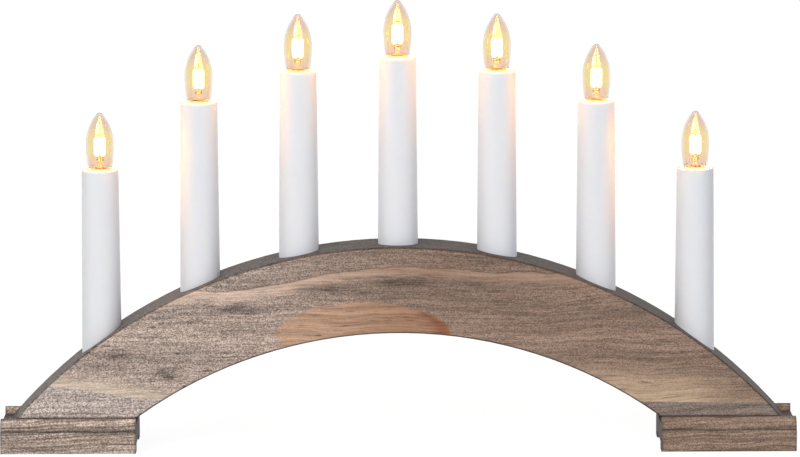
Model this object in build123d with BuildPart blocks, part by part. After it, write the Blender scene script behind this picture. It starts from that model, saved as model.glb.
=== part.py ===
"""A candle arch: a stained pine arch on two moulded feet, with electric candles along its back.

Lengths are in millimetres. X runs along the arch, Y from front to back and Z up. The origin is on
the standing surface, midway between the two feet and midway through the board's thickness.
"""

from build123d import *
from math import asin, cos, degrees, hypot, sin, sqrt
import os

# Board
overall_width = 450.0
arch_height = 116.2
opening_height = 67.0
board_thickness = 36.0
board_edge_chamfer = 0.9

# Feet
foot_length = 76.5
foot_height = 19.0
foot_rail = 8.9
foot_rail_flat = 2.4
foot_plinth_height = 12.3
foot_ledge = 1.0
foot_edge_radius = 0.6
foot_channel_width = 32.0
foot_channel_height = 4.0
seat_depth = 4.0
seat_clearance = 0.1
board_heel_margin = 4.8
board_toe_margin = 4.9

# Screws that hold the board to the feet
foot_screw_length = 20.0
foot_screw_diameter = 4.0
foot_screw_head_diameter = 8.0
foot_screw_spacing = 34.0

# Candles and their bores. The depths are measured down from a bore's low lip, centre candle first.
candle_end_margin = 56.7
bore_depths = (9.0, 9.0, 6.6, 10.0)
bore_clearance = 0.2
sleeve_length = 115.0
sleeve_foot_diameter = 22.8
sleeve_top_diameter = 20.8
sleeve_wall = 1.2
sleeve_top_wall = 1.6
sleeve_rim_radius = 0.9
sleeve_mouth_clearance = 0.5

# Lamp holder inside the top of each sleeve
holder_height = 14.4
holder_wall = 1.8
holder_flange_height = 2.0
holder_floor = 3.0
holder_clearance = 0.15
bead_height = 0.8
bead_depth = 0.5
shell_wall = 0.5
shell_length = 10.8
shell_clearance = 0.05
contact_diameter = 3.6
contact_height = 0.8

# Bulb, with heights measured up from the top of the sleeve
bulb_height = 32.2
bulb_diameter = 15.6
bulb_belly_height = 14.5
bulb_base_diameter = 13.6
bulb_base_height = 1.6
bulb_shoulder_height = 0.1
bulb_neck_length = 4.0
bulb_tip_radius = 1.7
bulb_tip_drop = 0.8
glass_wall = 0.7
glass_clearance = 0.05

# Screw cap of the bulb and the contact under it
cap_diameter = 9.5
cap_wall = 0.4
cap_rim = 0.45
cap_rim_height = 0.9
cap_thread_clearance = 0.1
base_insulator_height = 1.2
base_tip_diameter = 3.2
base_tip_height = 0.8

# Glass stem and filaments inside the bulb
stem_diameter = 3.8
stem_flare_height = 0.7
stem_height = 4.4
pinch_height = 2.0
pinch_margin = 0.2
pinch_thickness = 1.6
lead_diameter = 0.5
lead_height = 1.1
filament_diameter = 2.8
filament_length = 11.2
filament_spacing = 3.4
bridge_rise = 1.3
bridge_bend = 0.9

# Wiring between the holders, the groove that hides it and the groove's cover
wire_diameter = 1.8
wire_spacing = 5.8
wire_clearance = 0.5
wire_bend = 3.4
wire_hole_clearance = 0.1
groove_web = 11.0
groove_margin = 0.6
cover_width = 22.0
cover_thickness = 3.0
cover_clearance = 0.15
cover_screw_length = 11.0
cover_screw_diameter = 2.5
cover_screw_head_diameter = 4.8
screw_clearance = 0.1

# Bushing in the cover where the lead comes out, placed between the last two candles
bushing_place_share = 0.75
bushing_bore_diameter = 5.2
bushing_wall = 1.3
bushing_flange = 1.6
bushing_flange_height = 1.5
bushing_tail = 1.0

# One overrun lets every cut pass clear of the faces that it opens
overrun = 5.0

# Sizes that follow from those above
half_width = overall_width / 2
half_thickness = board_thickness / 2
seat_height = foot_height - seat_depth
seat_half = half_thickness + seat_clearance
foot_half = seat_half + foot_rail

outer_half_span = half_width - board_toe_margin
inner_half_span = half_width - foot_length + board_heel_margin
outer_rise = arch_height - seat_height
outer_radius = (outer_half_span**2 + outer_rise**2) / (2 * outer_rise)
outer_centre = arch_height - outer_radius

foot_screw_radius = foot_screw_diameter / 2
cover_screw_radius = cover_screw_diameter / 2
sleeve_foot_radius = sleeve_foot_diameter / 2
sleeve_top_radius = sleeve_top_diameter / 2
sleeve_taper = (sleeve_foot_radius - sleeve_top_radius) / sleeve_length
bore_radius = sleeve_foot_radius + bore_clearance

cap_radius = cap_diameter / 2
cap_bore_radius = cap_radius - cap_wall
cap_rim_radius = cap_radius + cap_rim
shell_bore_radius = cap_radius + cap_thread_clearance
shell_radius = shell_bore_radius + shell_wall
holder_bore_radius = shell_radius + shell_clearance
holder_radius = holder_bore_radius + holder_wall
sleeve_mouth_radius = cap_rim_radius + sleeve_mouth_clearance

holder_depth = sleeve_top_wall + holder_height
holder_floor_depth = holder_depth - holder_floor
base_tip_depth = holder_floor_depth - contact_height
cap_depth = base_tip_depth - base_tip_height - base_insulator_height
neck_radius = cap_bore_radius - glass_clearance
filament_offset = filament_spacing / 2
filament_foot = stem_height + pinch_height + lead_height
filament_head = filament_foot + filament_length

wire_radius = wire_diameter / 2
wire_offset = wire_spacing / 2
wire_hole_radius = wire_offset + wire_radius + wire_clearance
groove_half = wire_hole_radius + groove_margin
groove_width = 2 * groove_half
groove_depth = half_thickness + groove_half


def board_top(x):
    """Height of the board's curved top edge at a distance x from the middle."""
    return outer_centre + sqrt(outer_radius**2 - x**2)


def sleeve_bore(height):
    """Inner radius of a sleeve at a height over its foot."""
    return sleeve_foot_radius - sleeve_wall - sleeve_taper * height


def upright(x, z):
    """A drawing plane on a candle's axis, with its X to the right, its Y up and its origin at z."""
    return Plane(origin=(x, 0, z), x_dir=(1, 0, 0), z_dir=(0, -1, 0))


def candle_axis(x):
    """The vertical axis of the candle that stands at x."""
    return Axis((x, 0, 0), (0, 0, 1))


def rear_seat(x, z):
    """A plane on the back of the board that faces away from it, with its origin at x and z."""
    return Plane(origin=(x, half_thickness, z), x_dir=(-1, 0, 0), z_dir=(0, 1, 0))


def under_seat(x):
    """A plane on the roof of a foot's channel that faces down, with its origin at x."""
    return Plane(origin=(x, 0, foot_channel_height), x_dir=(1, 0, 0), z_dir=(0, 0, -1))


# Each candle has a place along the arch, a height for the floor of its bore and one for its top
reach = len(bore_depths) - 1
candle_spacing = (half_width - candle_end_margin) / reach
candles = []
for step in range(-reach, reach + 1):
    place = step * candle_spacing
    floor = board_top(abs(place) + bore_radius) - bore_depths[abs(step)]
    candles.append((place, floor, floor + sleeve_length))

# The groove in the back runs along the board's top edge and passes under the last bores
last_place, last_floor, last_top = candles[-1]
groove_radius = hypot(last_place, last_floor - groove_web - outer_centre)
groove_angle = degrees(asin(last_place / groove_radius))
groove_line = CenterArc((0, outer_centre), groove_radius, 90 - groove_angle, 2 * groove_angle)


def on_groove(x, outward=0):
    """The place of a point beside the groove's middle line: above it, or below if outward is negative."""
    turn = asin(x / groove_radius)
    radius = groove_radius + outward
    return radius * sin(turn), outer_centre + radius * cos(turn)


def groove_height(x):
    """Height of the groove's middle line at x."""
    return outer_centre + sqrt(groove_radius**2 - x**2)


# Cover screws stand between the candles, above and below the groove in turn, and past its ends
screw_row = (groove_width + cover_width) / 4
cover_screw_seats = []
for gap in range(len(candles) - 1):
    middle = (candles[gap][0] + candles[gap + 1][0]) / 2
    side = screw_row if gap % 2 else -screw_row
    cover_screw_seats.append(rear_seat(*on_groove(middle, side)))
for side in (-1, 1):
    end_x, end_z = on_groove(last_place)
    slope = asin(last_place / groove_radius)
    end_x += screw_row * cos(slope)
    end_z -= screw_row * sin(slope)
    cover_screw_seats.append(rear_seat(side * end_x, end_z))

# Foot screws stand in pairs under the middle of each end of the board
end_middle = (outer_half_span + inner_half_span) / 2
foot_screw_places = []
for side in (-1, 1):
    for step in (-1, 1):
        foot_screw_places.append(side * (end_middle + step * foot_screw_spacing / 2))

bushing_x = candles[-2][0] + bushing_place_share * candle_spacing
bushing_seat = rear_seat(bushing_x, groove_height(bushing_x))
bushing_radius = bushing_bore_diameter / 2 + bushing_wall


def arch_board():
    """The arched board, with its candle bores, its wire holes and the covered groove in its back."""
    with BuildPart() as board:
        with BuildSketch(Plane.XZ):
            with BuildLine():
                ThreePointArc(
                    (-outer_half_span, seat_height), (0, arch_height), (outer_half_span, seat_height)
                )
                Line((outer_half_span, seat_height), (inner_half_span, seat_height))
                ThreePointArc(
                    (inner_half_span, seat_height), (0, opening_height), (-inner_half_span, seat_height)
                )
                Line((-inner_half_span, seat_height), (-outer_half_span, seat_height))
            make_face()
        extrude(amount=half_thickness, both=True)
        chamfer(board.edges().filter_by(GeomType.CIRCLE), board_edge_chamfer)
        for place, floor, top in candles:
            low = groove_height(place)
            with Locations((place, 0, floor)):
                Cylinder(
                    bore_radius,
                    arch_height - floor + overrun,
                    align=(Align.CENTER, Align.CENTER, Align.MIN),
                    mode=Mode.SUBTRACT,
                )
            with Locations((place, 0, low)):
                Cylinder(
                    wire_hole_radius,
                    floor - low + overrun,
                    align=(Align.CENTER, Align.CENTER, Align.MIN),
                    mode=Mode.SUBTRACT,
                )
        with BuildSketch(rear_seat(0, 0)):
            SlotArc(groove_line, groove_width)
        extrude(amount=-groove_depth, mode=Mode.SUBTRACT)
        with BuildSketch(rear_seat(0, 0)):
            SlotArc(groove_line, cover_width)
        extrude(amount=-cover_thickness, mode=Mode.SUBTRACT)
        with Locations(*cover_screw_seats):
            Hole(cover_screw_radius + screw_clearance, depth=cover_screw_length + screw_clearance)
        with Locations(*[under_seat(x) for x in foot_screw_places]):
            Hole(foot_screw_radius + screw_clearance, depth=foot_screw_length + screw_clearance)
    return board.part


def foot(start):
    """A moulded foot that the board stands in, as one length of rail from x = start."""
    arc_width = foot_rail - foot_rail_flat - foot_ledge
    arc_height = foot_height - foot_plinth_height
    channel_half = foot_channel_width / 2
    with BuildPart() as rail:
        with BuildSketch(Plane.YZ.offset(start)):
            with BuildLine():
                Polyline(
                    (0, foot_channel_height),
                    (0, seat_height),
                    (seat_half, seat_height),
                    (seat_half, foot_height),
                    (seat_half + foot_rail_flat, foot_height),
                )
                EllipticalCenterArc(
                    (seat_half + foot_rail_flat, foot_plinth_height),
                    arc_width,
                    arc_height,
                    start_angle=0,
                    arc_size=90,
                )
                Polyline(
                    (foot_half - foot_ledge, foot_plinth_height),
                    (foot_half, foot_plinth_height),
                    (foot_half, 0),
                    (channel_half, 0),
                    (channel_half, foot_channel_height),
                    (0, foot_channel_height),
                )
            make_face()
            mirror(about=Plane.YZ)
        extrude(amount=foot_length)
        fillet(rail.edges().filter_by(Axis.X).group_by(Axis.Z)[0], foot_edge_radius)
        with Locations(*[under_seat(x) for x in foot_screw_places if start < x < start + foot_length]):
            CounterSinkHole(
                foot_screw_radius + screw_clearance,
                foot_screw_head_diameter / 2 + screw_clearance,
                depth=foot_height,
                counter_sink_angle=90,
            )
    return rail.part


def wood_screws(seats, length, diameter, head_diameter):
    """Countersunk screws, each with its head flush with a seat plane and its point behind it."""
    head_depth = (head_diameter - diameter) / 2
    with BuildPart() as screws:
        for seat in seats:
            with BuildSketch(Plane(origin=seat.origin, x_dir=seat.x_dir, z_dir=seat.y_dir)):
                with BuildLine():
                    Polyline(
                        (0, 0),
                        (head_diameter / 2, 0),
                        (diameter / 2, head_depth),
                        (diameter / 2, length - diameter),
                        (0, length),
                        close=True,
                    )
                make_face()
            revolve(axis=Axis(seat.origin, seat.z_dir))
    return screws.part


def rear_cover():
    """The strip that closes the groove, flush with the back of the board."""
    with BuildPart() as cover:
        with BuildSketch(rear_seat(0, 0)):
            SlotArc(groove_line, cover_width - 2 * cover_clearance)
        extrude(amount=-cover_thickness)
        with Locations(*cover_screw_seats):
            CounterSinkHole(
                cover_screw_radius + screw_clearance,
                cover_screw_head_diameter / 2 + screw_clearance,
                depth=cover_thickness + overrun,
                counter_sink_angle=90,
            )
        with Locations(bushing_seat):
            Hole(bushing_radius + cover_clearance, depth=cover_thickness + overrun)
    return cover.part


def cord_bushing():
    """The bushing that the lead comes out of, pressed into the cover from behind."""
    bore = bushing_bore_diameter / 2
    tail = cover_thickness + bushing_tail
    with BuildPart() as bushing:
        with BuildSketch(Plane(bushing_seat.origin, x_dir=bushing_seat.x_dir, z_dir=bushing_seat.y_dir)):
            with BuildLine():
                Polyline(
                    (bore, -bushing_flange_height),
                    (bushing_radius + bushing_flange, -bushing_flange_height),
                    (bushing_radius + bushing_flange, 0),
                    (bushing_radius, 0),
                    (bushing_radius, tail),
                    (bore, tail),
                    close=True,
                )
            make_face()
        revolve(axis=Axis(bushing_seat.origin, bushing_seat.z_dir))
    return bushing.part


def series_wires():
    """The wires that join each holder to the next, down one sleeve, along the groove and up the other."""
    with BuildPart() as wires:
        for left, right in zip(candles, candles[1:]):
            from_x = left[0] + wire_offset
            to_x = right[0] - wire_offset
            with BuildLine(Plane.XZ) as run:
                FilletPolyline(
                    (from_x, left[2] - holder_floor_depth),
                    (from_x, groove_height(from_x)),
                    (to_x, groove_height(to_x)),
                    (to_x, right[2] - holder_floor_depth),
                    radius=wire_bend,
                )
            with BuildSketch(Plane(origin=run.line @ 0, z_dir=run.line % 0)):
                Circle(wire_radius)
            sweep()
    return wires.part


def candle_sleeve(x, seat):
    """A moulded sleeve with a slight taper, a mouth for the bulb and a bead that holds the lamp holder."""
    under_top = sleeve_length - sleeve_top_wall
    bead_top = under_top - holder_flange_height - holder_clearance
    bead_middle = bead_top - bead_height / 2
    bead_foot = bead_top - bead_height
    with BuildPart() as sleeve:
        with BuildSketch(upright(x, seat)):
            with BuildLine():
                Polyline(
                    (sleeve_foot_radius, 0),
                    (sleeve_top_radius, sleeve_length),
                    (sleeve_mouth_radius, sleeve_length),
                    (sleeve_mouth_radius, under_top),
                    (sleeve_bore(under_top), under_top),
                    (sleeve_bore(bead_top), bead_top),
                    (sleeve_bore(bead_middle) - bead_depth, bead_middle),
                    (sleeve_bore(bead_foot), bead_foot),
                    (sleeve_bore(0), 0),
                    close=True,
                )
            make_face()
        revolve(axis=candle_axis(x))
        rim = sleeve.edges().group_by(Axis.Z)[-1].sort_by(SortBy.RADIUS)[-1]
        fillet(rim, sleeve_rim_radius)
    return sleeve.part


def lamp_holder(x, top):
    """The moulded holder under the sleeve's top, a cup with a flange and two wire holes in its floor."""
    flange_radius = sleeve_bore(sleeve_length - sleeve_top_wall) - holder_clearance
    flange_foot = -sleeve_top_wall - holder_flange_height
    with BuildPart() as holder:
        with BuildSketch(upright(x, top)):
            with BuildLine():
                Polyline(
                    (holder_bore_radius, -sleeve_top_wall),
                    (flange_radius, -sleeve_top_wall),
                    (flange_radius, flange_foot),
                    (holder_radius, flange_foot),
                    (holder_radius, -holder_depth),
                    (0, -holder_depth),
                    (0, -holder_floor_depth),
                    (holder_bore_radius, -holder_floor_depth),
                    close=True,
                )
            make_face()
        revolve(axis=candle_axis(x))
        with Locations((x - wire_offset, 0, top - holder_depth), (x + wire_offset, 0, top - holder_depth)):
            Cylinder(
                wire_radius + wire_hole_clearance,
                holder_floor,
                align=(Align.CENTER, Align.CENTER, Align.MIN),
                mode=Mode.SUBTRACT,
            )
    return holder.part


def holder_shells():
    """The brass sleeves that the bulbs screw into, one in each lamp holder."""
    with BuildPart() as shells:
        for x, floor, top in candles:
            with BuildSketch(Plane(origin=(x, 0, top - holder_floor_depth))):
                Circle(shell_radius)
                Circle(shell_bore_radius, mode=Mode.SUBTRACT)
            extrude(amount=shell_length)
    return shells.part


def holder_contacts():
    """The brass buttons on the floors of the lamp holders, which meet the tips of the bulbs."""
    with BuildPart() as contacts:
        for x, floor, top in candles:
            with BuildSketch(Plane(origin=(x, 0, top - holder_floor_depth))):
                Circle(contact_diameter / 2)
            extrude(amount=contact_height)
    return contacts.part


def bulb_glass(x, top):
    """The blown envelope of a bulb: a pointed arch over a short straight neck, hollow and open below."""
    with BuildPart() as glass:
        for inset, run_out, mode in ((0, 0, Mode.ADD), (glass_wall, overrun, Mode.SUBTRACT)):
            neck = neck_radius - inset
            shoulder = bulb_shoulder_height + inset
            base = bulb_base_diameter / 2 - inset
            belly = bulb_diameter / 2 - inset
            tip = bulb_height - 2 * inset
            neck_foot = -bulb_neck_length - run_out
            with BuildSketch(upright(x, top)):
                with BuildLine():
                    Polyline((0, tip), (0, neck_foot), (neck, neck_foot), (neck, shoulder))
                    TangentArc((neck, shoulder), (base, bulb_base_height), tangent=(1, 0))
                    TangentArc((belly, bulb_belly_height), (base, bulb_base_height), tangent=(0, -1))
                    TangentArc((belly, bulb_belly_height), (bulb_tip_radius, tip - bulb_tip_drop), tangent=(0, 1))
                    TangentArc((0, tip), (bulb_tip_radius, tip - bulb_tip_drop), tangent=(1, 0))
                make_face()
            revolve(axis=candle_axis(x), mode=mode)
    return glass.part


def bulb_stem(x, top):
    """The glass stem inside a bulb: a flare in the neck, a tube and a flat pinch that holds the leads."""
    stem_radius = stem_diameter / 2
    flare_radius = neck_radius - glass_wall - glass_clearance
    flare_foot = -bulb_neck_length
    flare_top = flare_foot + stem_flare_height
    pinch_width = filament_spacing + lead_diameter + 2 * pinch_margin
    with BuildPart() as stem:
        with BuildSketch(upright(x, top)):
            with BuildLine():
                Polyline(
                    (0, flare_foot),
                    (flare_radius, flare_foot),
                    (flare_radius, flare_top),
                    (stem_radius, flare_top + flare_radius - stem_radius),
                    (stem_radius, stem_height),
                    (0, stem_height),
                    close=True,
                )
            make_face()
        revolve(axis=candle_axis(x))
        with BuildSketch(Plane(origin=(x, 0, top + stem_height))):
            Circle(stem_radius)
        with BuildSketch(Plane(origin=(x, 0, top + stem_height + pinch_height))):
            Ellipse(pinch_width / 2, pinch_thickness / 2)
        loft()
    return stem.part


def bulb_filaments(x, top):
    """Two upright filaments on their lead wires, joined at the top by a bridge of the same wire."""
    with BuildPart() as filaments:
        for side in (-filament_offset, filament_offset):
            with BuildSketch(Plane(origin=(x + side, 0, top + filament_foot - lead_height))):
                Circle(lead_diameter / 2)
            extrude(amount=lead_height)
        for side in (-filament_offset, filament_offset):
            with BuildSketch(Plane(origin=(x + side, 0, top + filament_foot))):
                Circle(filament_diameter / 2)
            extrude(amount=filament_length)
        with BuildLine(upright(x, top)) as bridge:
            FilletPolyline(
                (-filament_offset, filament_head),
                (-filament_offset, filament_head + bridge_rise),
                (filament_offset, filament_head + bridge_rise),
                (filament_offset, filament_head),
                radius=bridge_bend,
            )
        with BuildSketch(Plane(origin=bridge.line @ 0, z_dir=bridge.line % 0)):
            Circle(lead_diameter / 2)
        sweep()
    return filaments.part


def bulb_cap(x, top):
    """The screw cap of a bulb, a thin brass cup with a rim that the glass stands on."""
    rim_top = bulb_shoulder_height - glass_clearance
    rim_foot = rim_top - cap_rim_height
    with BuildPart() as cap:
        with BuildSketch(upright(x, top)):
            with BuildLine():
                Polyline(
                    (cap_bore_radius, -cap_depth),
                    (cap_radius, -cap_depth),
                    (cap_radius, rim_foot),
                    (cap_rim_radius, rim_foot + cap_rim),
                    (cap_rim_radius, rim_top),
                    (cap_bore_radius, rim_top),
                    close=True,
                )
            make_face()
        revolve(axis=candle_axis(x))
    return cap.part


def bulb_contact(x, top):
    """The insulated contact under a bulb's cap, a cone that ends in a flat tip."""
    tip_radius = base_tip_diameter / 2
    with BuildPart() as contact:
        with BuildSketch(upright(x, top)):
            with BuildLine():
                Polyline(
                    (0, -cap_depth),
                    (cap_radius, -cap_depth),
                    (tip_radius, -cap_depth - base_insulator_height),
                    (tip_radius, -base_tip_depth),
                    (0, -base_tip_depth),
                    close=True,
                )
            make_face()
        revolve(axis=candle_axis(x))
    return contact.part


def write(piece, name):
    """Labels a finished piece and writes it to its own file."""
    piece.label = name
    export_step(piece, f"parts/{name}.step")


os.makedirs("parts", exist_ok=True)

write(arch_board(), "arch_board")
write(foot(-half_width), "left_foot")
write(foot(half_width - foot_length), "right_foot")
foot_seats = [under_seat(x) for x in foot_screw_places]
write(
    wood_screws(foot_seats, foot_screw_length, foot_screw_diameter, foot_screw_head_diameter),
    "foot_screws",
)
write(rear_cover(), "rear_cover")
write(
    wood_screws(
        cover_screw_seats, cover_screw_length, cover_screw_diameter, cover_screw_head_diameter
    ),
    "cover_screws",
)
write(cord_bushing(), "cord_bushing")
write(series_wires(), "series_wires")
write(holder_shells(), "holder_shells")
write(holder_contacts(), "holder_contacts")

for number, (x, floor, top) in enumerate(candles, start=1):
    write(candle_sleeve(x, floor), f"candle_sleeve_{number}")
    write(lamp_holder(x, top), f"lamp_holder_{number}")
    write(bulb_glass(x, top), f"bulb_glass_{number}")
    write(bulb_stem(x, top), f"bulb_stem_{number}")
    write(bulb_filaments(x, top), f"bulb_filaments_{number}")
    write(bulb_cap(x, top), f"bulb_cap_{number}")
    write(bulb_contact(x, top), f"bulb_contact_{number}")
    print(f"candle {number}: x {x:.1f}, bore floor {floor:.1f}, sleeve top {top:.1f}")
print(f"outer radius {outer_radius:.1f}, groove radius {groove_radius:.1f}")
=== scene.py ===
# %% [markdown]
# # A candle arch
#
# A pine board cut like a low bridge stands in two moulded feet and carries a row of electric candles.
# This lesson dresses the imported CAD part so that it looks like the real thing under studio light. The
# pieces could all be drawn again from nothing, but the CAD already holds every size and place. So each new
# piece reads its place from the CAD, and pieces that are right as they are only get a finish.

# %% Load the part
import math
import bmesh
import bpy
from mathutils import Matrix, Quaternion, Vector


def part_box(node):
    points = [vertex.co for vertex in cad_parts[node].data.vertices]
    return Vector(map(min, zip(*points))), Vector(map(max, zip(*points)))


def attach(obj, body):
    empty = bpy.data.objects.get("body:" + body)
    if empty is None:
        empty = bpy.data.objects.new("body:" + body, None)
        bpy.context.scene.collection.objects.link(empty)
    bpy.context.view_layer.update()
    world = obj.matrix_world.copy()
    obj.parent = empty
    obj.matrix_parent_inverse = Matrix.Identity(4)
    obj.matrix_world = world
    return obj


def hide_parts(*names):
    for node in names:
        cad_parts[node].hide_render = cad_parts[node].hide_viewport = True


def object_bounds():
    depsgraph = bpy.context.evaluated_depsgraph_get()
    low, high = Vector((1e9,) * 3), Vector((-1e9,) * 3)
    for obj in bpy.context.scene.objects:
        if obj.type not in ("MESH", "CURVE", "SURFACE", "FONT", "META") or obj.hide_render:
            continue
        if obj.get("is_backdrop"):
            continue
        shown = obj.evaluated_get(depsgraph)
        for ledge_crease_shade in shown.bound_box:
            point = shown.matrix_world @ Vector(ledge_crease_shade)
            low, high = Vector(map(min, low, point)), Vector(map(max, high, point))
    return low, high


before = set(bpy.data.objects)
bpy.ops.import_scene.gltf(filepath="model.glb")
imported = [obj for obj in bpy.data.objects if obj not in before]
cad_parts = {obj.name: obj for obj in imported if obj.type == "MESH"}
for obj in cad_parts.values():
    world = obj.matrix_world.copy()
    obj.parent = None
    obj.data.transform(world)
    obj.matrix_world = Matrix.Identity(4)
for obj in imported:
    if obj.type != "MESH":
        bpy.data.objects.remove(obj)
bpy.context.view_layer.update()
print("loaded", len(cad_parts), "pieces")

# %% [markdown]
# ## Camera
#
# The picture was taken from far off with a long lens, a little above the arch, so verticals stay upright
# and the top of the board shows as a thin band. A wide lens close by would frame the same width, but it
# would show the tops of the low candles and bend the arch. The camera leans by a fraction of a degree.

# %% Camera
# Places in metres, fitted to the picture
eye = Vector((-0.0200, -2.8587, 0.5543))
aim = Vector((0.00121, 0.0, 0.1242))
lean = Quaternion((0, 0, 1), math.radians(-0.143))
camera = bpy.data.objects.new("camera", bpy.data.cameras.new("camera"))
camera.data.sensor_width = 36.0
camera.data.lens = 229.6
camera.location = eye
camera.rotation_mode = "QUATERNION"
camera.rotation_quaternion = (aim - eye).to_track_quat("-Z", "Y") @ lean
bpy.context.scene.collection.objects.link(camera)
bpy.context.scene.camera = camera
print("camera", round((aim - eye).length, 3), "m away")

# %% [markdown]
# ## Colours and nodes
#
# Colours are written as the hex codes of a paint program and turned into the linear numbers that light
# works with. Nodes could be added one by one in the shader editor; here one small function adds a node,
# sets its options and links its inputs, so that a finish reads from top to bottom.

# %% Colours and nodes
def colour(code):
    """A hex colour as linear red, green, blue and alpha."""
    parts = [int(code[i:i + 2], 16) / 255 for i in (1, 3, 5)]
    linear = [p / 12.92 if p < 0.04045 else ((p + 0.055) / 1.055) ** 2.4 for p in parts]
    return (*linear, 1.0)


def add(tree, kind, inputs=(), **settings):
    """Adds a node, sets its options and fills or links its inputs. Returns its first output in use."""
    node = tree.nodes.new("ShaderNode" + kind)
    for key, value in settings.items():
        setattr(node, key, value)
    pairs = inputs.items() if isinstance(inputs, dict) else enumerate(inputs)
    for key, value in pairs:
        if isinstance(value, bpy.types.NodeSocket):
            tree.links.new(value, node.inputs[key])
        else:
            node.inputs[key].default_value = value
    return next((output for output in node.outputs if output.enabled), None)


def material(name):
    """A new material with an empty node tree."""
    made = bpy.data.materials.new(name)
    made.use_nodes = True
    made.node_tree.nodes.clear()
    return made, made.node_tree


print("middle grey in linear light", round(colour("#808080")[0], 3))

# %% [markdown]
# ## White paper
#
# The arch stands on a white paper sweep. The paper could be lit until it is white, but then the candles
# would burn out too. So it shows white only to eyes: to the camera, to reflections and through glass. For
# the light that bounces it stays a white card that brightens undersides, and a fifth of it keeps the
# shadow that the feet cast.

# %% White paper
def looked_at(tree, share):
    """The share of white that a backdrop shows where the camera, a reflection or glass looks at it."""
    rays = add(tree, "LightPath").node.outputs
    looks = add(tree, "Math", [rays["Is Camera Ray"], rays["Is Glossy Ray"]], operation="MAXIMUM")
    looks = add(tree, "Math", [looks, rays["Is Transmission Ray"]], operation="MAXIMUM")
    return add(tree, "Math", [looks, share], operation="MULTIPLY")


paper, tree = material("white_paper_sweep")
card = add(tree, "BsdfDiffuse", {"Color": colour("#F2F2F2")})
white = add(tree, "Emission", {"Color": colour("#FFFFFF"), "Strength": 1.16})
add(tree, "OutputMaterial", [add(tree, "MixShader", [looked_at(tree, 0.8), card, white])])
# The floor lies a hair below the feet, so that no face of theirs lies in it
bpy.ops.mesh.primitive_plane_add(size=30, location=(0, 0, -0.0002))
floor = bpy.context.object
floor.name = "floor"
floor.data.materials.append(paper)
floor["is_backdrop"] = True
print("floor of", paper.name)

# %% [markdown]
# ## Studio light
#
# The candles are shaded softly, and more on the right: the light came from large lamps in front, the
# stronger one high on the left. Small lamps would give hard shadows, so two square lamps over a metre wide
# stand in for softboxes. The world is the pale room around them: dim where it sheds light, and white where
# it is looked at.

# %% Studio light
world = bpy.data.worlds.new("studio")
world.use_nodes = True
tree = world.node_tree
tree.nodes.clear()
around = add(tree, "Background", {"Color": colour("#EEF1F5"), "Strength": 0.42})
behind = add(tree, "Background", {"Color": colour("#FFFFFF"), "Strength": 1.0})
add(tree, "OutputWorld", [add(tree, "MixShader", [looked_at(tree, 1.0), around, behind])])
bpy.context.scene.world = world
bpy.context.scene.view_settings.view_transform = "Standard"

# Of each softbox: its place and width in metres, its power in watts and its tint
softboxes = {
    "key": ((-1.1, -1.9, 1.6), 1.3, 34.0, "#FFFDFA"),
    "fill": ((1.5, -2.2, 0.7), 1.6, 14.0, "#F3F7FF"),
}
middle = Vector((0, 0, 0.12))
for name, (place, width, power, tint) in softboxes.items():
    lamp = bpy.data.lights.new(name, "AREA")
    lamp.size = width
    lamp.energy = power
    lamp.color = colour(tint)[:3]
    box = bpy.data.objects.new(name, lamp)
    box.location = place
    box.rotation_euler = (middle - Vector(place)).to_track_quat("-Z", "Y").to_euler()
    bpy.context.scene.collection.objects.link(box)
    box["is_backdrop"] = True
print("softboxes", len(softboxes))

# %% [markdown]
# ## Stained pine
#
# The board is one plank of pine with its grain running along the arch, brushed with a thin grey-brown
# stain and wiped. A picture of wood could be wrapped around it, but a plank is the same wood all the way
# through, so patterns that fill space are truer: they meet themselves at every edge. They are drawn out
# along the grain, in layers of the sizes that the eye finds there: streaks, thin grain lines, grit and
# pores.

# %% Patterns in wood
def per(size):
    """Features per metre of a pattern whose features measure size millimetres."""
    return 1000 / size


def streaks(tree, place, sizes, detail=4.0):
    """Noise drawn out into streaks: sizes are a streak's length, depth and height in millimetres."""
    spread = add(tree, "VectorMath", [place, [per(size) for size in sizes]], operation="MULTIPLY")
    return add(tree, "TexNoise", {"Vector": spread, "Scale": 1.0, "Detail": detail, "Roughness": 0.62})


def specks(tree, place, sizes):
    """A random share, from 0 to 1, for each cell: sizes are its length, depth and height in millimetres."""
    spread = add(tree, "VectorMath", [place, [per(size) for size in sizes]], operation="MULTIPLY")
    cells = add(tree, "TexVoronoi", {"Vector": spread, "Scale": 1.0}).node.outputs["Color"]
    return add(tree, "SeparateXYZ", [cells])


print("grain lines per metre of height", round(per(0.9)))

# %% Laying stain and painted shade
smooth = {"interpolation_type": "SMOOTHSTEP"}


def lay_colour(tree, tone, over, value, low, high, start=0.0, end=1.0):
    """Lays a colour over a tone, by a share from start to end while value goes from low to high."""
    share = add(tree, "MapRange", [value, low, high, start, end], **smooth)
    return add(tree, "Mix", {0: share, 6: tone, 7: over}, data_type="RGBA")


def shade(tree, tone, value, low, high, dark, light):
    """Scales a tone by a factor from dark to light while value goes from low to high."""
    factor = add(tree, "MapRange", [value, low, high, dark, light], **smooth)
    return add(tree, "VectorMath", {0: tone, "Scale": factor}, operation="SCALE")


# %% A pine surface
def grain_place(tree):
    """Where a point lies: its X and Z, and a place whose height wanders as the grain does."""
    place = add(tree, "TexCoord").node.outputs["Object"]
    x, y, z = add(tree, "SeparateXYZ", [place]).node.outputs
    drift = add(tree, "TexNoise", {"Vector": place, "Scale": per(90), "Detail": 2.0})
    drift = add(tree, "MapRange", [drift, 0.0, 1.0, -0.007, 0.007])
    level = add(tree, "Math", [z, drift], operation="ADD")
    return x, z, add(tree, "CombineXYZ", [x, y, level])


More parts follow.
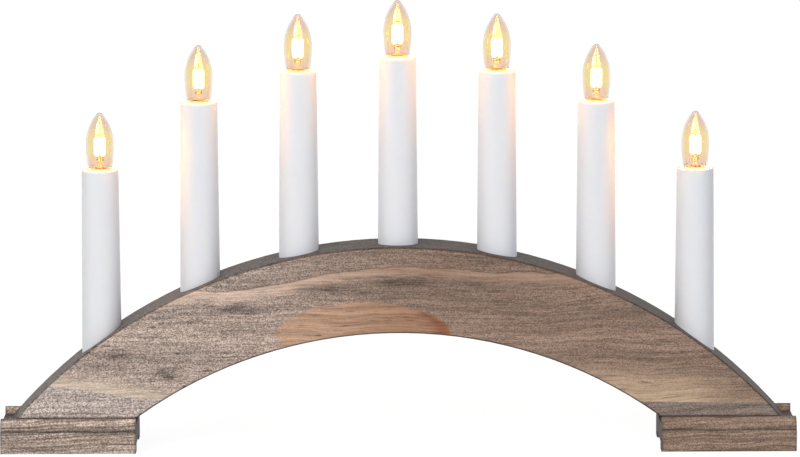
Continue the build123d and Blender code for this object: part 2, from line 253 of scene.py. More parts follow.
def pine_surface(tree, tone, along, bite, line):
    """Draws the grain over a tone and gives it the dull sheen of stained wood.

    The stain bit the wood into grit where bite is 1, and line is the shade of the darkest grain lines.
    """
    fine = streaks(tree, along, (30, 3.3, 1.8))
    dark = add(tree, "MapRange", [bite, 0.0, 1.0, 0.90, 0.80])
    light = add(tree, "MapRange", [bite, 0.0, 1.0, 1.06, 1.14])
    tone = shade(tree, tone, fine, 0.32, 0.66, dark, light)
    lines = streaks(tree, along, (70, 4.0, 0.9), 2.0)
    tone = shade(tree, tone, lines, 0.36, 0.62, line, 1.08)
    # The grit of brushed pine is finer; it is as coarse here as the picture needs to show it
    grit = specks(tree, along, (0.6, 1.0, 0.45))
    dark = add(tree, "MapRange", [bite, 0.0, 1.0, 1.0, 0.45])
    light = add(tree, "MapRange", [bite, 0.0, 1.0, 1.0, 1.58])
    tone = shade(tree, tone, grit, 0.0, 1.0, dark, light)
    # One cell in eight or so is a pore that the stain filled
    pores = specks(tree, along, (7.0, 2.0, 0.55))
    tone = shade(tree, tone, pores, 0.10, 0.16, 0.74, 1.0)
    relief = add(tree, "Bump", {"Strength": 0.25, "Distance": 0.0004, "Height": fine})
    wood = {"Base Color": tone, "Roughness": 0.62, "Specular IOR Level": 0.2, "Normal": relief}
    add(tree, "OutputMaterial", [add(tree, "BsdfPrincipled", wood)])


# %% [markdown]
# ## The board's figure
#
# Each growth layer took the stain differently: grey on the left, browner on the right, and pale in bands
# beside the growth lines. Painting this by hand would fix it to one face. Here the tone is worked out from
# how far a point lies from two growth lines, each given in millimetres, so it runs through the plank.

# %% Growth lines
# They are drawn in a window that reaches this many millimetres to each side and up
window_side = 230
window_top = 120


def growth_line(tree, x, points):
    """Height of a growth line at a place along the board, through points in millimetres."""
    share = add(tree, "MapRange", [x, -window_side / 1000, window_side / 1000, 0.0, 1.0])
    node = add(tree, "FloatCurve", {"Value": share}).node
    curve = node.mapping.curves[0]
    spots = [((along + window_side) / (2 * window_side), height / window_top) for along, height in points]
    curve.points[0].location = spots[0]
    curve.points[-1].location = spots[-1]
    for spot in spots[1:-1]:
        curve.points.new(*spot)
    node.mapping.update()
    return add(tree, "Math", [node.outputs[0], window_top / 1000], operation="MULTIPLY")


# %% The plank's tone
pine, tree = material("stained_pine")
x, z, along = grain_place(tree)
# From 0 on the left, where the stain is grey, to 1 on the right, where it is brown
rightward = add(tree, "MapRange", [x, -0.13, 0.03, 0.0, 1.0], **smooth)
tone = add(tree, "Mix", {0: rightward, 6: colour("#B9A69A"), 7: colour("#967E6E")}, data_type="RGBA")
clouds = streaks(tree, along, (110, 25, 11), 3.0)
tone = shade(tree, tone, clouds, 0.30, 0.72, 0.76, 1.14)
# Growth layers waver, so the height of a point in its layer does too, by up to 2.5 mm
wobble = add(tree, "TexNoise", {"Vector": along, "Scale": per(25), "Detail": 3.0})
wobble = add(tree, "MapRange", [wobble, 0.0, 1.0, -0.0025, 0.0025])
wavy = add(tree, "Math", [z, wobble], operation="ADD")
print("plank of", pine.name)

# %% The upper growth line
# A pale band under it fades downwards; above it the wood is darker, and the line itself is the darkest
upper = growth_line(tree, x, [
    (-230, 72), (-150, 84), (-118, 91.2), (-89, 91.2), (-69, 94.1), (-53, 97.7),
    (-39, 101.4), (-24, 102.9), (7, 103.9), (54, 101.4), (97, 100), (230, 92),
])
above_upper = add(tree, "Math", [wavy, upper], operation="SUBTRACT")
fade = add(tree, "MapRange", [above_upper, -0.009, -0.001, 0.0, 1.0], **smooth)
stop = add(tree, "MapRange", [above_upper, 0.0, 0.001, 1.0, 0.0], **smooth)
upper_band = add(tree, "Math", [fade, stop], operation="MULTIPLY")
pale = add(tree, "Mix", {0: rightward, 6: colour("#E2C8B4"), 7: colour("#B8957E")}, data_type="RGBA")
most = add(tree, "MapRange", [x, -0.07, 0.0, 0.95, 0.5], **smooth)
tone = lay_colour(tree, tone, pale, upper_band, 0.0, 1.0, 0.0, most)
tone = shade(tree, tone, above_upper, 0.0, 0.002, 1.0, 0.90)
crest = add(tree, "Math", [above_upper, -0.0006], operation="ADD")
crest = add(tree, "Math", [crest], operation="ABSOLUTE")
tone = lay_colour(tree, tone, colour("#5A473C"), crest, 0.0001, 0.0007, 0.45, 0.0)
print("upper growth line")

# %% The lower growth line
# Under it the wood is grey; over it a pale band reaches further up on the right and tapers at that end
lower = growth_line(tree, x, [(-230, 39), (-198, 37.2), (-133, 28.6), (0, 26), (137, 27), (230, 24.5)])
above_lower = add(tree, "Math", [z, lower], operation="SUBTRACT")
reach = add(tree, "MapRange", [rightward, 0.0, 1.0, 0.012, 0.030])
fade = add(tree, "MapRange", [above_lower, 0.001, reach, 0.85, 0.0], **smooth)
taper = add(tree, "MapRange", [x, 0.15, 0.20, 1.0, 0.3], **smooth)
start = add(tree, "MapRange", [above_lower, 0.0, 0.0006, 0.0, 1.0], **smooth)
lower_band = add(tree, "Math", [fade, taper], operation="MULTIPLY")
lower_band = add(tree, "Math", [lower_band, start], operation="MULTIPLY")
pale = add(tree, "Mix", {0: rightward, 6: colour("#D6C3B0"), 7: colour("#CDB094")}, data_type="RGBA")
tone = lay_colour(tree, tone, pale, lower_band, 0.0, 1.0)
grey = add(tree, "Mix", {0: rightward, 6: colour("#C0B4AC"), 7: colour("#8D8178")}, data_type="RGBA")
tone = lay_colour(tree, tone, grey, above_lower, 0.0, 0.0006, 0.75, 0.0)
print("lower growth line")

# %% [markdown]
# ## The lens of clear wood
#
# Near the crown the plank was cut through a bulge in one layer, which shows as an oval of clear wood. It
# took hardly any stain and is redder at its right tip. It could be a thin inlay, but on the real board it is
# the same flat face. So it is one more tone, laid wherever a point lies inside an oval.

# %% The lens of clear wood
def oval(tree, x, z, middle, half):
    """How far a point lies from the middle of an oval: 1 at its rim. Middle and half sizes are in mm."""
    shares = []
    for place, centre, size in zip((x, z), middle, half):
        low = centre / 1000
        high = (centre + size) / 1000
        shares.append(add(tree, "MapRange", [place, low, high, 0.0, 1.0], clamp=False))
    away = add(tree, "CombineXYZ", shares)
    return add(tree, "VectorMath", [away], operation="LENGTH").node.outputs["Value"]


far = oval(tree, x, wavy, (-18, 65.9), (47, 18.6))
warm = add(tree, "MapRange", [x, -0.06, 0.02, 0.0, 1.0], **smooth)
clear = add(tree, "Mix", {0: warm, 6: colour("#C4A085"), 7: colour("#A67F64")}, data_type="RGBA")
rim = add(tree, "MapRange", [far, 0.70, 0.98, 0.0, 1.0], **smooth)
tip = add(tree, "MapRange", [x, 0.0, 0.024, 0.0, 1.0], **smooth)
tip = add(tree, "Math", [rim, tip], operation="MULTIPLY")
clear = lay_colour(tree, clear, colour("#925F45"), tip, 0.0, 1.0)
# The rim is soft on the left and crisp on the right
outer = add(tree, "MapRange", [x, -0.06, 0.0, 1.18, 1.04])
lens = add(tree, "MapRange", [far, 0.97, outer, 0.9, 0.0], **smooth)
tone = lay_colour(tree, tone, clear, lens, 0.0, 1.0)
print("lens of clear wood")

# %% [markdown]
# ## Smudges and flecks
#
# Where the stain stood before it was wiped, it left cloudy smudges, and it filled small knots and tears.
# Noise alone would scatter such marks anywhere; a short list puts the ones that catch the eye in place.

# %% Smudges and flecks
# Place along and up, half length and half height in millimetres, and strength
smudges = [
    (-130, 44, 24, 9, 0.76), (-158, 55, 20, 9, 0.60), (-171, 47, 11, 7, 0.65), (-88, 81.5, 28, 6.5, 0.78),
    (-118, 76, 20, 4, 0.45), (-40, 93, 28, 5, 0.70), (3, 96, 34, 5, 0.85), (42, 94, 28, 5, 0.60),
    (70, 84, 38, 6, 0.30), (137, 80, 32, 9, 0.45), (196, 35, 16, 10, 0.35), (-8, 69.5, 28, 3, 0.35),
    (95, 55, 40, 5, 0.20), (-145, 38, 14, 4, 0.40), (-95, 62, 32, 9, 0.22), (-150, 46, 36, 14, 0.42),
]
flecks = [
    (-139, 70.6, 4, 1.1, 0.9), (-165, 59.7, 5, 1.1, 0.8), (-125, 56.7, 4, 1.0, 0.9),
    (-108, 46.4, 6, 1.3, 0.9), (-129, 42.2, 5, 2.0, 0.8), (-121, 37, 2.5, 1.4, 0.9),
    (-45, 108, 5, 1.0, 0.7), (107, 88, 6, 1.4, 0.7), (123, 79.5, 3, 1.1, 0.8),
    (5, 95.6, 5, 1.4, 0.7), (139, 38, 8, 0.9, 0.6), (149, 43, 6, 0.8, 0.5),
    (-30, 72, 5, 0.9, 0.6), (4, 76, 5, 0.9, 0.6), (-45, 67, 4, 1.0, 0.7),
    (112, 53, 8, 0.9, 0.5), (-14, 74, 6, 0.8, 0.5), (-160, 52, 3, 0.8, 0.6),
    (-178, 22, 8, 1.2, 0.5), (99, 84, 9, 0.8, 0.5), (-8, 99.4, 8, 0.6, 0.8),
    (-23, 98.5, 6, 0.5, 0.6), (30, 94, 3, 1.0, 0.7),
]
patchy = streaks(tree, along, (14, 6, 3.5), 3.0)
patchy = add(tree, "MapRange", [patchy, 0.30, 0.65, 1.1, 0.5], **smooth)
for marks, share in ((smudges, patchy), (flecks, 1.0)):
    dark = 0.0
    for mark_x, mark_z, half_x, half_z, strength in marks:
        far = oval(tree, x, wavy, (mark_x, mark_z), (half_x, half_z))
        spot = add(tree, "MapRange", [far, 0.0, 1.0, strength, 0.0], **smooth)
        dark = add(tree, "Math", [dark, spot], operation="MAXIMUM")
    dark = add(tree, "Math", [dark, share], operation="MULTIPLY")
    tone = lay_colour(tree, tone, colour("#594E48"), dark, 0.0, 1.0)
print("marks", len(smudges) + len(flecks))

# %% [markdown]
# ## Sawn edges
#
# The curved edges above and below were sawn across the grain and drank more stain than the planed faces;
# painted shade darkens them further, on top and underneath.
# They could be marked face by face, but the board keeps its CAD mesh, so its edges are told apart by the way
# they face.

# %% Sawn edges
normal = add(tree, "NewGeometry").node.outputs["Normal"]
facing = add(tree, "SeparateXYZ", [normal]).node.outputs["Y"]
facing = add(tree, "Math", [facing], operation="ABSOLUTE")
# Stain and painted shade: the sawn edges, on top and underneath, are darkened by the way they face
sawn_stain_and_shade = add(tree, "Mix", {0: rightward, 6: colour("#655B56"), 7: colour("#524944")}, data_type="RGBA")
tone = lay_colour(tree, tone, sawn_stain_and_shade, facing, 0.35, 0.92, 0.9, 0.0)
# The broken edge between a face and a sawn edge is darker still
broken = add(tree, "MapRange", [facing, 0.30, 0.55, 0.0, 1.0], **smooth)
ended = add(tree, "MapRange", [facing, 0.78, 0.96, 1.0, 0.0], **smooth)
broken = add(tree, "Math", [broken, ended], operation="MULTIPLY")
tone = lay_colour(tree, tone, colour("#3A322E"), broken, 0.0, 1.0, 0.0, 0.6)
# Painted shade darkens the board where it stands in the feet, 19 to 20 mm above the floor
tone = lay_colour(tree, tone, colour("#453C38"), z, 0.0190, 0.0200, 0.85, 0.0)
print("sawn edges")

# %% [markdown]
# ## Grit on the board
#
# The stain bit hard into open wood, on the left and above the upper line, and left the pale bands and the
# lens nearly smooth. One even grit would be quicker, but clear wood would then look as coarse as the rest.
# So a value called bite says how hard the stain bit at each point, and the grain is drawn with it.

# %% Grit on the board
bite = add(tree, "MapRange", [rightward, 0.0, 1.0, 1.0, 0.60])
calm = add(tree, "MapRange", [lens, 0.0, 0.9, 1.0, 0.2])
bite = add(tree, "Math", [bite, calm], operation="MULTIPLY")
bands = add(tree, "Math", [lower_band, upper_band], operation="MAXIMUM")
calm = add(tree, "MapRange", [bands, 0.0, 0.8, 1.0, 0.25])
bite = add(tree, "Math", [bite, calm], operation="MULTIPLY")
coarse = add(tree, "MapRange", [above_upper, 0.0, 0.002, 0.0, 0.65], **smooth)
bite = add(tree, "Math", [bite, coarse], operation="MAXIMUM")
pine_surface(tree, tone, along, bite, 0.84)


def dress(name, finish):
    """Puts a finish on a CAD piece that keeps its shape."""
    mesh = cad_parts[name].data
    mesh.materials.clear()
    mesh.materials.append(finish)
    mesh.shade_smooth()


dress("arch_board", pine)
print("board dressed with", len(tree.nodes), "nodes")

# %% [markdown]
# ## Feet
#
# Each foot is a length of moulded rail: a plinth, a small ledge and a rounded shoulder, mirrored front and
# back, with a slot on top for the board. The CAD mesh would do, but its shoulder has few faces and its
# corners are sharp. Drawn again as one outline swept along the grain, with the edges a little broken, the
# shoulder catches the light as one soft line.

# %% Drawing tools
def piece(name, shape, body, finish, sharp=35.0):
    """Turns a drawn shape into a piece that rides on a CAD body, smooth but for edges over sharp degrees."""
    bmesh.ops.remove_doubles(shape, verts=shape.verts, dist=1e-7)
    bmesh.ops.recalc_face_normals(shape, faces=shape.faces)
    mesh = bpy.data.meshes.new(name)
    shape.to_mesh(mesh)
    shape.free()
    mesh.shade_smooth()
    mesh.set_sharp_from_angle(angle=math.radians(sharp))
    mesh.materials.append(finish)
    made = bpy.data.objects.new(name, mesh)
    bpy.context.scene.collection.objects.link(made)
    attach(made, body)
    return made


def wall(shape, first, second):
    """Joins two loops with as many points each by a band of faces."""
    count = len(first)
    for i in range(count):
        j = (i + 1) % count
        shape.faces.new((first[i], first[j], second[j], second[i]))


def swept(name, outline, start, end, body, finish):
    """Draws an outline of (y, z) points in mm as a solid from x = start to x = end, in metres."""
    shape = bmesh.new()
    ends = []
    for x in (start, end):
        ends.append([shape.verts.new((x, y / 1000, z / 1000)) for y, z in outline])
    wall(shape, *ends)
    for loop in ends:
        shape.faces.new(loop)
    return piece(name, shape, body, finish)


def arc(centre, radii, start, end, steps):
    """Points of an arc in the plane of an outline, between two angles in degrees."""
    points = []
    for i in range(steps + 1):
        angle = math.radians(start + (end - start) * i / steps)
        points.append((centre[0] + radii[0] * math.cos(angle), centre[1] + radii[1] * math.sin(angle)))
    return points


# %% Outline of the feet
# Half of it in mm, from the middle underneath to the middle on top: the channel, the plinth's lower edge,
# its face and upper edge, the shoulder, the edge of the slot and the slot
half = [(0, 4), (16, 4), (16, 0.4), (16.4, 0)]
half += arc((26.2, 0.8), (0.8, 0.8), -90, 0, 4)
half += [(27, 11.9)] + arc((26.6, 11.9), (0.4, 0.4), 0, 90, 3)
half += arc((20.5, 12.3), (5.5, 6.7), 0, 90, 14)
half += arc((18.5, 18.6), (0.4, 0.4), 90, 180, 3)
half += [(18.1, 15), (0, 15)]
outline = half + [(-y, z) for y, z in reversed(half[1:-1])]
# The ledge's height in metres
ledge = 0.0123
print("outline of the feet", len(outline), "points")

# %% Feet
# Of each foot: its tone, the tone of its cut ends, darkened by stain and painted shadow, how hard the stain
# bit it, the shade of its grain lines, the painted light on its shoulder from the ledge to the crown, and
# the shade of its lower edge
feet = {
    "left_foot": ("#C0AC9D", "#2C2826", 0.95, 0.46, (0.60, 1.28), 1.22),
    "right_foot": ("#98806F", "#453D39", 0.65, 0.68, (0.94, 1.10), 0.80),
}
for name, (code, cut, bite, line, shoulder, edge) in feet.items():
    finish, tree = material("stained_pine_" + name)
    x, z, along = grain_place(tree)
    clouds = streaks(tree, along, (60, 20, 5), 3.0)
    tone = shade(tree, colour(code)[:3], clouds, 0.30, 0.70, 0.78, 1.16)
    # Painted light: the shoulder is lighter towards the crown, as if lit from above, and the plinth under
    # the ledge is left as it is
    painted_crown_light = add(tree, "MapRange", [z, ledge + 0.0001, 0.0180, *shoulder], **smooth)
    plinth = add(tree, "Math", [z, ledge], operation="LESS_THAN")
    painted_crown_light = add(tree, "Math", [painted_crown_light, plinth], operation="MAXIMUM")
    tone = add(tree, "VectorMath", {0: tone, "Scale": painted_crown_light}, operation="SCALE")
    tone = shade(tree, tone, z, 0.0008, 0.0025, edge, 1.0)
    # Painted shade darkens the corner between the ledge and the shoulder
    ledge_crease_shade = add(tree, "Math", [z, -0.0004 - ledge], operation="ADD")
    ledge_crease_shade = add(tree, "Math", [ledge_crease_shade], operation="ABSOLUTE")
    tone = lay_colour(tree, tone, colour("#4C423C"), ledge_crease_shade, 0.0002, 0.0008, 0.55, 0.0)
    # Painted shade darkens the flats beside the board, where it stands on them. The cut ends drank the most
    # stain, and painted shadow darkens them further, most on the left foot
    normal = add(tree, "NewGeometry").node.outputs["Normal"]
    facing = add(tree, "SeparateXYZ", [normal]).node.outputs
    tone = lay_colour(tree, tone, colour("#453C38"), facing["Z"], 0.990, 0.999, 0.0, 0.85)
    ends = add(tree, "Math", [facing["X"]], operation="ABSOLUTE")
    tone = lay_colour(tree, tone, colour(cut), ends, 0.5, 0.8, 0.0, 0.95)
    # Stain also crept from the cut ends into the last millimetre of the faces
    low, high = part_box(name)
    creep = add(tree, "MapRange", [x, low.x, high.x, -1.0, 1.0])
    creep = add(tree, "Math", [creep], operation="ABSOLUTE")
    tone = lay_colour(tree, tone, colour("#4C423C"), creep, 0.965, 1.0, 0.0, 0.6)
    pine_surface(tree, tone, along, bite, line)
    foot = swept("moulded_" + name, outline, low.x, high.x, "arch", finish)
    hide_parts(name)
print("feet", len(feet))

# %% [markdown]
# ## Turned pieces
#
# Candles and bulbs are round. They could be made from cylinders pushed into shape, but an outline turned
# about an upright axis is exact and needs one function for all of them. An outline point is a radius and
# a height, or two radii and a height where the piece is squashed flat.

# %% Turned pieces
candles = range(1, 8)


def turned(name, outline, x, base, body, finish, sides=56, ripple=None, sharp=35.0):
    """Turns an outline in mm about the upright line at x, from the height base, both in metres."""
    shape = bmesh.new()
    rings = []
    for *radii, height in outline:
        ring = []
        for i in range(sides):
            angle = 2 * math.pi * i / sides
            grow = ripple(radii[0], height, angle) if ripple else 0.0
            across = (radii[0] + grow) * math.cos(angle) / 1000
            deep = (radii[-1] + grow) * math.sin(angle) / 1000
            ring.append(shape.verts.new((x + across, deep, base + height / 1000)))
        rings.append(ring)
    for below, above in zip(rings, rings[1:]):
        wall(shape, below, above)
    return piece(name, shape, body, finish, sharp)


# %% [markdown]
# ## Candles
#
# The candles are white moulded plastic, polypropylene by the look of it. It is smooth, faintly glossy and
# lets a little light through, so the top of each candle glows where the lamp shines into it. Subsurface
# scattering gives that; a plain white paint would look like chalk.

# %% Candle plastic
plastic, tree = material("moulded_polypropylene")
place = add(tree, "TexCoord").node.outputs["Object"]
flow = add(tree, "TexNoise", {"Vector": place, "Scale": per(17), "Detail": 2.0})
skin = {
    "Base Color": add(tree, "Mix", {0: flow, 6: colour("#EEEAED"), 7: colour("#F2EEEE")}, data_type="RGBA"),
    "Roughness": add(tree, "MapRange", [flow, 0.3, 0.7, 0.34, 0.42]),
    "Normal": add(tree, "Bump", {"Strength": 0.04, "Distance": 0.0003, "Height": flow}),
    "Specular IOR Level": 0.25,
    "Subsurface Weight": 0.35,
    "Subsurface Radius": (1.0, 0.55, 0.3),
    "Subsurface Scale": 0.004,
}
add(tree, "OutputMaterial", [add(tree, "BsdfPrincipled", skin)])
print("candles of", plastic.name)

# %% Candles
# In mm: up the tapered outside, over the rounded top, into the mouth and down the inside
candle = [(10.2, 0), (11.4, 0)]
candle += arc((9.5, 114.1), (0.9, 0.9), 0, 90, 6)
candle += arc((6.0, 114.7), (0.3, 0.3), 90, 180, 3)
candle += [(5.7, 113.4), (9.21, 113.4), (10.2, 0)]
for k in candles:
    low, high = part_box(f"candle_sleeve_{k}")
    sleeve = turned(f"candle_{k}", candle, (low.x + high.x) / 2, low.z, "arch", plastic)
    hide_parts(f"candle_sleeve_{k}")
print("candles", len(candles))

# %% [markdown]
# ## Glass and light
#
# The envelope is thin clear glass that the warm filaments tint cream, paler towards the tip, with a darker
# line where it is seen edge on. Real glass bends the light of the lamps into patches that take long to
# work out, so lamps shine straight through here and the candle under each bulb is still lit. The filaments
# are rods with a coat of phosphor that glows a warm white, too bright for the picture to hold.

# %% Blown glass
glass, tree = material("blown_glass")
coordinates = add(tree, "TexCoord").node.outputs
height = add(tree, "SeparateXYZ", [coordinates["Generated"]]).node.outputs["Z"]
# Painted light: the cream tint is the filaments' glow painted into the glass, and the grey edge-on line is
# painted shade
tint = lay_colour(tree, colour("#F5E2D4"), colour("#F8EBC8"), height, 0.18, 0.42)
tint = lay_colour(tree, tint, colour("#F0E0D4"), height, 0.62, 0.85)
edge = add(tree, "LayerWeight", {"Blend": 0.5}).node.outputs["Facing"]
tint = lay_colour(tree, tint, colour("#C2B4A6"), edge, 0.72, 0.98)
# Blowing drew the glass into faint upright ripples
drawn = streaks(tree, coordinates["Object"], (1.6, 1.6, 14), 2.0)
ripple = add(tree, "Bump", {"Strength": 0.12, "Distance": 0.0003, "Height": drawn})
clear = {"Base Color": tint, "Roughness": 0.0, "IOR": 1.45, "Transmission Weight": 1.0, "Normal": ripple}
clear = add(tree, "BsdfPrincipled", clear)
through = add(tree, "BsdfTransparent", {"Color": colour("#FFF8EC")})
shadow = add(tree, "LightPath").node.outputs["Is Shadow Ray"]
add(tree, "OutputMaterial", [add(tree, "MixShader", [shadow, clear, through])])
print("envelopes of", glass.name)

# %% Pressed glass and phosphor
# The stem was pinched while it was soft, which left its surface clear in some places and hazy in others
stem_glass, tree = material("pressed_glass")
place = add(tree, "TexCoord").node.outputs["Object"]
waves = add(tree, "TexNoise", {"Vector": place, "Scale": per(2), "Detail": 2.0})
haze = add(tree, "MapRange", [waves, 0.3, 0.7, 0.05, 0.18])
clear = {"Base Color": colour("#FFF4DA"), "Roughness": haze, "IOR": 1.5, "Transmission Weight": 0.85}
add(tree, "OutputMaterial", [add(tree, "BsdfPrincipled", clear)])

# The coat is a matt yellow powder when it is off; lit, only its glow is seen
phosphor, tree = material("glowing_phosphor")
lit = {
    "Base Color": colour("#F2C14A"),
    "Roughness": 0.6,
    "Emission Color": colour("#FFBC65"),
    "Emission Strength": 140.0,
}
add(tree, "OutputMaterial", [add(tree, "BsdfPrincipled", lit)])
print("mounts of", stem_glass.name, "and", phosphor.name)

# %% [markdown]
# ## Metals and small mouldings
#
# Leads, screws, brass and small mouldings differ in colour and in how rough they were left. Each could have
# nodes of its own, but one recipe serves them: a colour, and a tone, gloss and surface that vary a little,
# as nothing is perfect. Only the cap is different, because the cement that holds the glass shows at its rim.

# %% Metals and small mouldings
def uneven(tree, code):
    """A colour that varies a little over a piece, and the noise that it varies with."""
    place = add(tree, "TexCoord").node.outputs["Object"]
    worn = add(tree, "TexNoise", {"Vector": place, "Scale": per(3.3), "Detail": 3.0})
    return shade(tree, colour(code)[:3], worn, 0.2, 0.8, 0.90, 1.06), worn


def plain(name, code, rough, metal=0.0):
    """A material of one colour, slightly uneven in its tone, its gloss and its surface."""
    made, tree = material(name)
    tone, worn = uneven(tree, code)
    gloss = add(tree, "MapRange", [worn, 0.2, 0.8, rough - 0.06, rough + 0.06])
    relief = add(tree, "Bump", {"Strength": 0.15, "Distance": 0.0001, "Height": worn})
    body = {"Base Color": tone, "Roughness": gloss, "Metallic": metal, "Normal": relief}
    add(tree, "OutputMaterial", [add(tree, "BsdfPrincipled", body)])
    return made


# Drawn wire, dulled by the flame that sealed it, and pressed black glass with a soft shine
lead = plain("drawn_nickel_wire", "#7A6A58", 0.4, 1.0)
insulator = plain("pressed_black_glass", "#1E1C1A", 0.4)
print("small finishes", lead.name, "and", insulator.name)

# %% Cap metal
# Rolled sheet, plated and satin, with a pale matt ring of cement in the top twentieth of the cap's height
cap_metal, tree = material("plated_nickel")
tone = uneven(tree, "#CFC6B4")[0]
coordinates = add(tree, "TexCoord").node.outputs
height = add(tree, "SeparateXYZ", [coordinates["Generated"]]).node.outputs["Z"]
rim = (0.95, 0.96)
metal = {
    "Base Color": lay_colour(tree, tone, colour("#F6EEDC"), height, *rim),
    "Roughness": add(tree, "MapRange", [height, *rim, 0.36, 0.8]),
    "Metallic": add(tree, "MapRange", [height, *rim, 1.0, 0.0]),
}
add(tree, "OutputMaterial", [add(tree, "BsdfPrincipled", metal)])
print("caps of", cap_metal.name)

# %% [markdown]
# ## Bulbs
#
# Every bulb is the same: a pointed envelope, a glass stem that ends in a flat pinch, two glowing rods with
# their wires, and a screw cap with the contact under it. Each could be one mesh with many materials, but
# a real bulb is made of these pieces and they show through the glass, so each is turned by itself. The
# cap's thread is a ripple that climbs one pitch per turn, so it shows when the bulb is unscrewed.

# %% Outline of the glass
# In mm from the candle's top. The outside: neck, rounded foot, lower belly, upper belly and tip
envelope = [(4.3, -4.0)] + arc((4.3, 2.933), (2.833, 2.833), -90, -28.07, 8)
envelope += arc((-75.9, 14.5), (83.7, 83.7), -8.86, 0, 8)[1:]
envelope += arc((-18.66, 14.5), (26.46, 26.46), 0, 39.7, 22)[1:]
envelope += arc((0.0, 29.994), (2.206, 2.206), 39.6, 90, 8)[1:]
# The inside, back down: tip, upper belly, lower belly, foot and neck
envelope += arc((0.0, 29.894), (1.506, 1.506), 90, 39.6, 6)
envelope += arc((-18.66, 14.5), (25.76, 25.76), 38.0, 0, 20)
envelope += arc((-75.9, 14.5), (83.0, 83.0), 0, -8.86, 8)[1:]
envelope += arc((4.3, 2.933), (2.133, 2.133), -28.07, -90, 8)
envelope += [(3.6, 0.9), (3.6, -4.0), (4.3, -4.0)]
print("outline of the glass", len(envelope), "points")

# %% Outlines inside and under the glass
# The stem: its flare, its tube and the pinch, which is wider than it is deep
stem = [(0, -4), (3.55, -4), (3.55, -3.3), (1.9, -1.65), (1.9, 4.2), (2.0, 1.7, 4.9), (2.1, 1.0, 5.8)]
stem += [(2.15, 0.8, 6.2), (2.0, 0.7, 6.4), (0, 0, 6.4)]
# A rod with round ends, how far it stands to the side of the bulb's axis, and the short lead under it
rod = arc((0.0, 9.5), (1.5, 2.0), -90, 0, 10) + arc((0.0, 16.7), (1.5, 2.0), 0, 90, 10)
rod_side = 1.6
post = [(0, 6.3), (0.25, 6.3), (0.25, 7.6), (0, 7.6)]
# The cap: its lower edge, rings close enough together to carry the thread, and the flared rim
thread_radius = 4.62
thread_depth = 0.13
pitch = 1.814
cap = [(4.35, -10.2), (4.6, -10.2)]
cap += [(thread_radius, -9.9 + 0.15 * i) for i in range(57)]
cap += [(4.75, -0.85), (5.2, -0.4), (5.2, 0.05), (4.35, 0.05), (4.35, -10.2)]
# The contact: an insulating cone and the button under it
contact = [(0, -10.2), (4.75, -10.2), (1.6, -11.4), (1.6, -11.9)]
contact += arc((1.3, -11.9), (0.3, 0.3), 0, -90, 3) + [(0, -12.2)]
print("cap with", len(cap), "points and a pitch of", pitch, "mm")

# %% Thread and bridge
def thread(radius, height, angle):
    """How far the cap's thread stands out at a height and angle: it climbs one pitch per turn."""
    if radius != thread_radius:
        return 0.0
    return thread_depth * math.cos(2 * math.pi * height / pitch - angle)


def bridge(name, x, base, body, finish):
    """The wire that joins the two rods at their tops."""
    half = [(rod_side, 18.5), (rod_side, 19.1), (1.35, 19.7), (0.8, 20.0)]
    path = [(-across, height) for across, height in half] + half[::-1]
    curve = bpy.data.curves.new(name, "CURVE")
    curve.dimensions = "3D"
    curve.bevel_depth = 0.00025
    line = curve.splines.new("POLY")
    line.points.add(len(path) - 1)
    for point, (across, height) in zip(line.points, path):
        point.co = (x + across / 1000, 0, base + height / 1000, 1)
    curve.materials.append(finish)
    made = bpy.data.objects.new(name, curve)
    bpy.context.scene.collection.objects.link(made)
    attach(made, body)


# %% Bulbs
for k in candles:
    low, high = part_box(f"candle_sleeve_{k}")
    x = (low.x + high.x) / 2
    base = high.z
    body = f"bulb_{k}"
    shell = turned(f"envelope_{k}", envelope, x, base, body, glass)
    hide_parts(f"bulb_glass_{k}")
    inner = turned(f"stem_{k}", stem, x, base, body, stem_glass, 32)
    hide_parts(f"bulb_stem_{k}")
    for side, across in (("left", -rod_side / 1000), ("right", rod_side / 1000)):
        bar = turned(f"filament_{side}_{k}", rod, x + across, base, body, phosphor, 24)
        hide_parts(f"bulb_filaments_{k}")
        turned(f"lead_{side}_{k}", post, x + across, base, body, lead, 10)
    bridge(f"bridge_{k}", x, base, body, lead)
    threaded = turned(f"screw_cap_{k}", cap, x, base, body, cap_metal, 48, thread, 60.0)
    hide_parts(f"bulb_cap_{k}")
    button = turned(f"base_contact_{k}", contact, x, base, f"bulb_{k}_base", insulator, 32)
    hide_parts(f"bulb_contact_{k}")
print("bulbs", len(candles))

# %% [markdown]
# ## Screws
#
# Zinc-plated countersunk screws hold the cover to the board and the board to the feet. The CAD screws have
# plain heads; a real one has a cross for the driver, and that dark cross is what makes a dot look like
# a screw. It could be a dark paint, but cut into the head it is right from every side. Each screw is drawn
# where the CAD has it, from its head along the way that it points.

# %% Where the screws are
def solids(name):
    """The lowest and highest corner of each separate solid in a CAD node."""
    shape = bmesh.new()
    shape.from_mesh(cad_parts[name].data)
    bmesh.ops.remove_doubles(shape, verts=shape.verts, dist=1e-6)
    found = []
    for start in shape.verts:
        if start.tag:
            continue
        start.tag = True
        group = [start]
        for vert in group:
            fresh = [edge.other_vert(vert) for edge in vert.link_edges]
            fresh = [other for other in fresh if not other.tag]
            for other in fresh:
                other.tag = True
            group += fresh
        places = [vert.co for vert in group]
        low = Vector([min(place[i] for place in places) for i in range(3)])
        high = Vector([max(place[i] for place in places) for i in range(3)])
        found.append((low, high))
    shape.free()
    return found


# Of each kind: the radius of the head and of the shank, and the turn from up to the way the screws point
screw_kinds = {
    "cover_screws": (0.0024, 0.00125, Quaternion((1, 0, 0), math.radians(90))),
    "foot_screws": (0.0040, 0.0020, Quaternion()),
}
print("screws", [len(solids(name)) for name in screw_kinds])

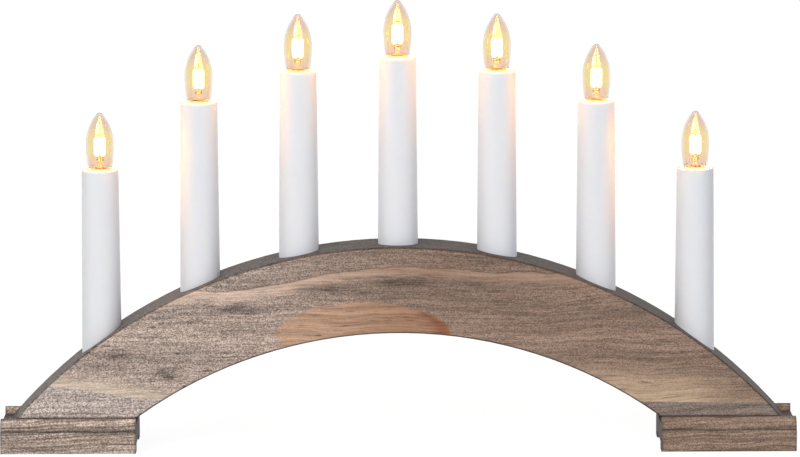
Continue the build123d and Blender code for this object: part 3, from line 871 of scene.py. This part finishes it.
# %% Drawing a screw
def circle(radius, sides=24):
    """Points of a circle around the middle."""
    angles = [2 * math.pi * i / sides for i in range(sides)]
    return [(radius * math.cos(angle), radius * math.sin(angle)) for angle in angles]


def cross(reach, half):
    """Corners of a cross around the middle, by the reach and half width of its arms."""
    corners = [(reach, -half), (reach, half), (half, half)]
    points = []
    for quarter in range(4):
        points += corners
        corners = [(-y, x) for x, y in corners]
    return points


def screw(shape, head, shank, length, turn, place):
    """Draws a countersunk screw with a crossed head. Sizes are radii and a length, in metres."""
    def ring(points, height):
        return [shape.verts.new(place + turn @ Vector((x, y, height))) for x, y in points]

    rim = ring(circle(head), 0.0)
    neck = ring(circle(shank), head - shank)
    thick = ring(circle(shank), length - 2 * shank)
    point = ring(circle(shank * 0.1), length)
    mouth = ring(cross(head * 0.62, head * 0.14), 0.0)
    pit = ring(cross(head * 0.40, head * 0.10), head * 0.5)
    for first, second in ((rim, neck), (neck, thick), (thick, point), (mouth, pit)):
        wall(shape, first, second)
    shape.faces.new(point)
    shape.faces.new(pit)
    edges = []
    for loop in (rim, mouth):
        edges += [shape.edges.get((loop[i - 1], loop[i])) for i in range(len(loop))]
    bmesh.ops.triangle_fill(shape, edges=edges, use_beauty=True)


# %% Screws
# Bright steel wire, headed and rolled, with a thin plating that went slightly grey
zinc = plain("zinc_plated_steel", "#B4B4AC", 0.35, 1.0)
for name, (head, shank, turn) in screw_kinds.items():
    shape = bmesh.new()
    way = turn @ Vector((0, 0, 1))
    for low, high in solids(name):
        length = abs(way.dot(high - low))
        screw(shape, head, shank, length, turn, (low + high) / 2 - way * length / 2)
    made = piece("zinc_" + name, shape, "arch", zinc)
    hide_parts(name)
    print(made.name, len(made.data.polygons), "faces")

# %% [markdown]
# ## Cover and hidden hardware
#
# A strip of the same pine closes the groove in the back. It was cut from another plank, so it has a tone of
# its own, and the board's growth lines don't run on into it. The holders, their brass, the wires and the
# bushing hardly show. They could be drawn again, but their CAD shapes are right as they are, so all of
# these only get a finish.

# %% Cover
strip, tree = material("stained_pine_cover")
along = grain_place(tree)[-1]
clouds = streaks(tree, along, (80, 20, 7), 3.0)
tone = shade(tree, colour("#8A7768")[:3], clouds, 0.30, 0.70, 0.80, 1.12)
pine_surface(tree, tone, along, 0.6, 0.70)
dress("rear_cover", strip)
print("cover of", strip.name)

# %% Hidden hardware
# Soft vinyl is dull, extruded vinyl and moulded resin have a satin skin, and stamped brass stays bright
brass = plain("stamped_brass", "#C3A555", 0.3, 1.0)
resin = plain("moulded_resin", "#E2DED2", 0.55)
dress("cord_bushing", plain("soft_vinyl", "#D8D5CC", 0.7))
dress("series_wires", plain("extruded_vinyl", "#E6E4DC", 0.45))
dress("holder_shells", brass)
dress("holder_contacts", brass)
for k in candles:
    dress(f"lamp_holder_{k}", resin)
print("materials", len(bpy.data.materials))

# %% [markdown]
# ## Size and finish
#
# Dressing must not change how big the object is. That could be judged by eye in the viewport, but not to
# a millimetre. So the size of the box around what shows now is printed in millimetres.

# %% Size and finish
low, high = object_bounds()
print("size in mm", [round(1000 * (end - start), 1) for start, end in zip(low, high)])
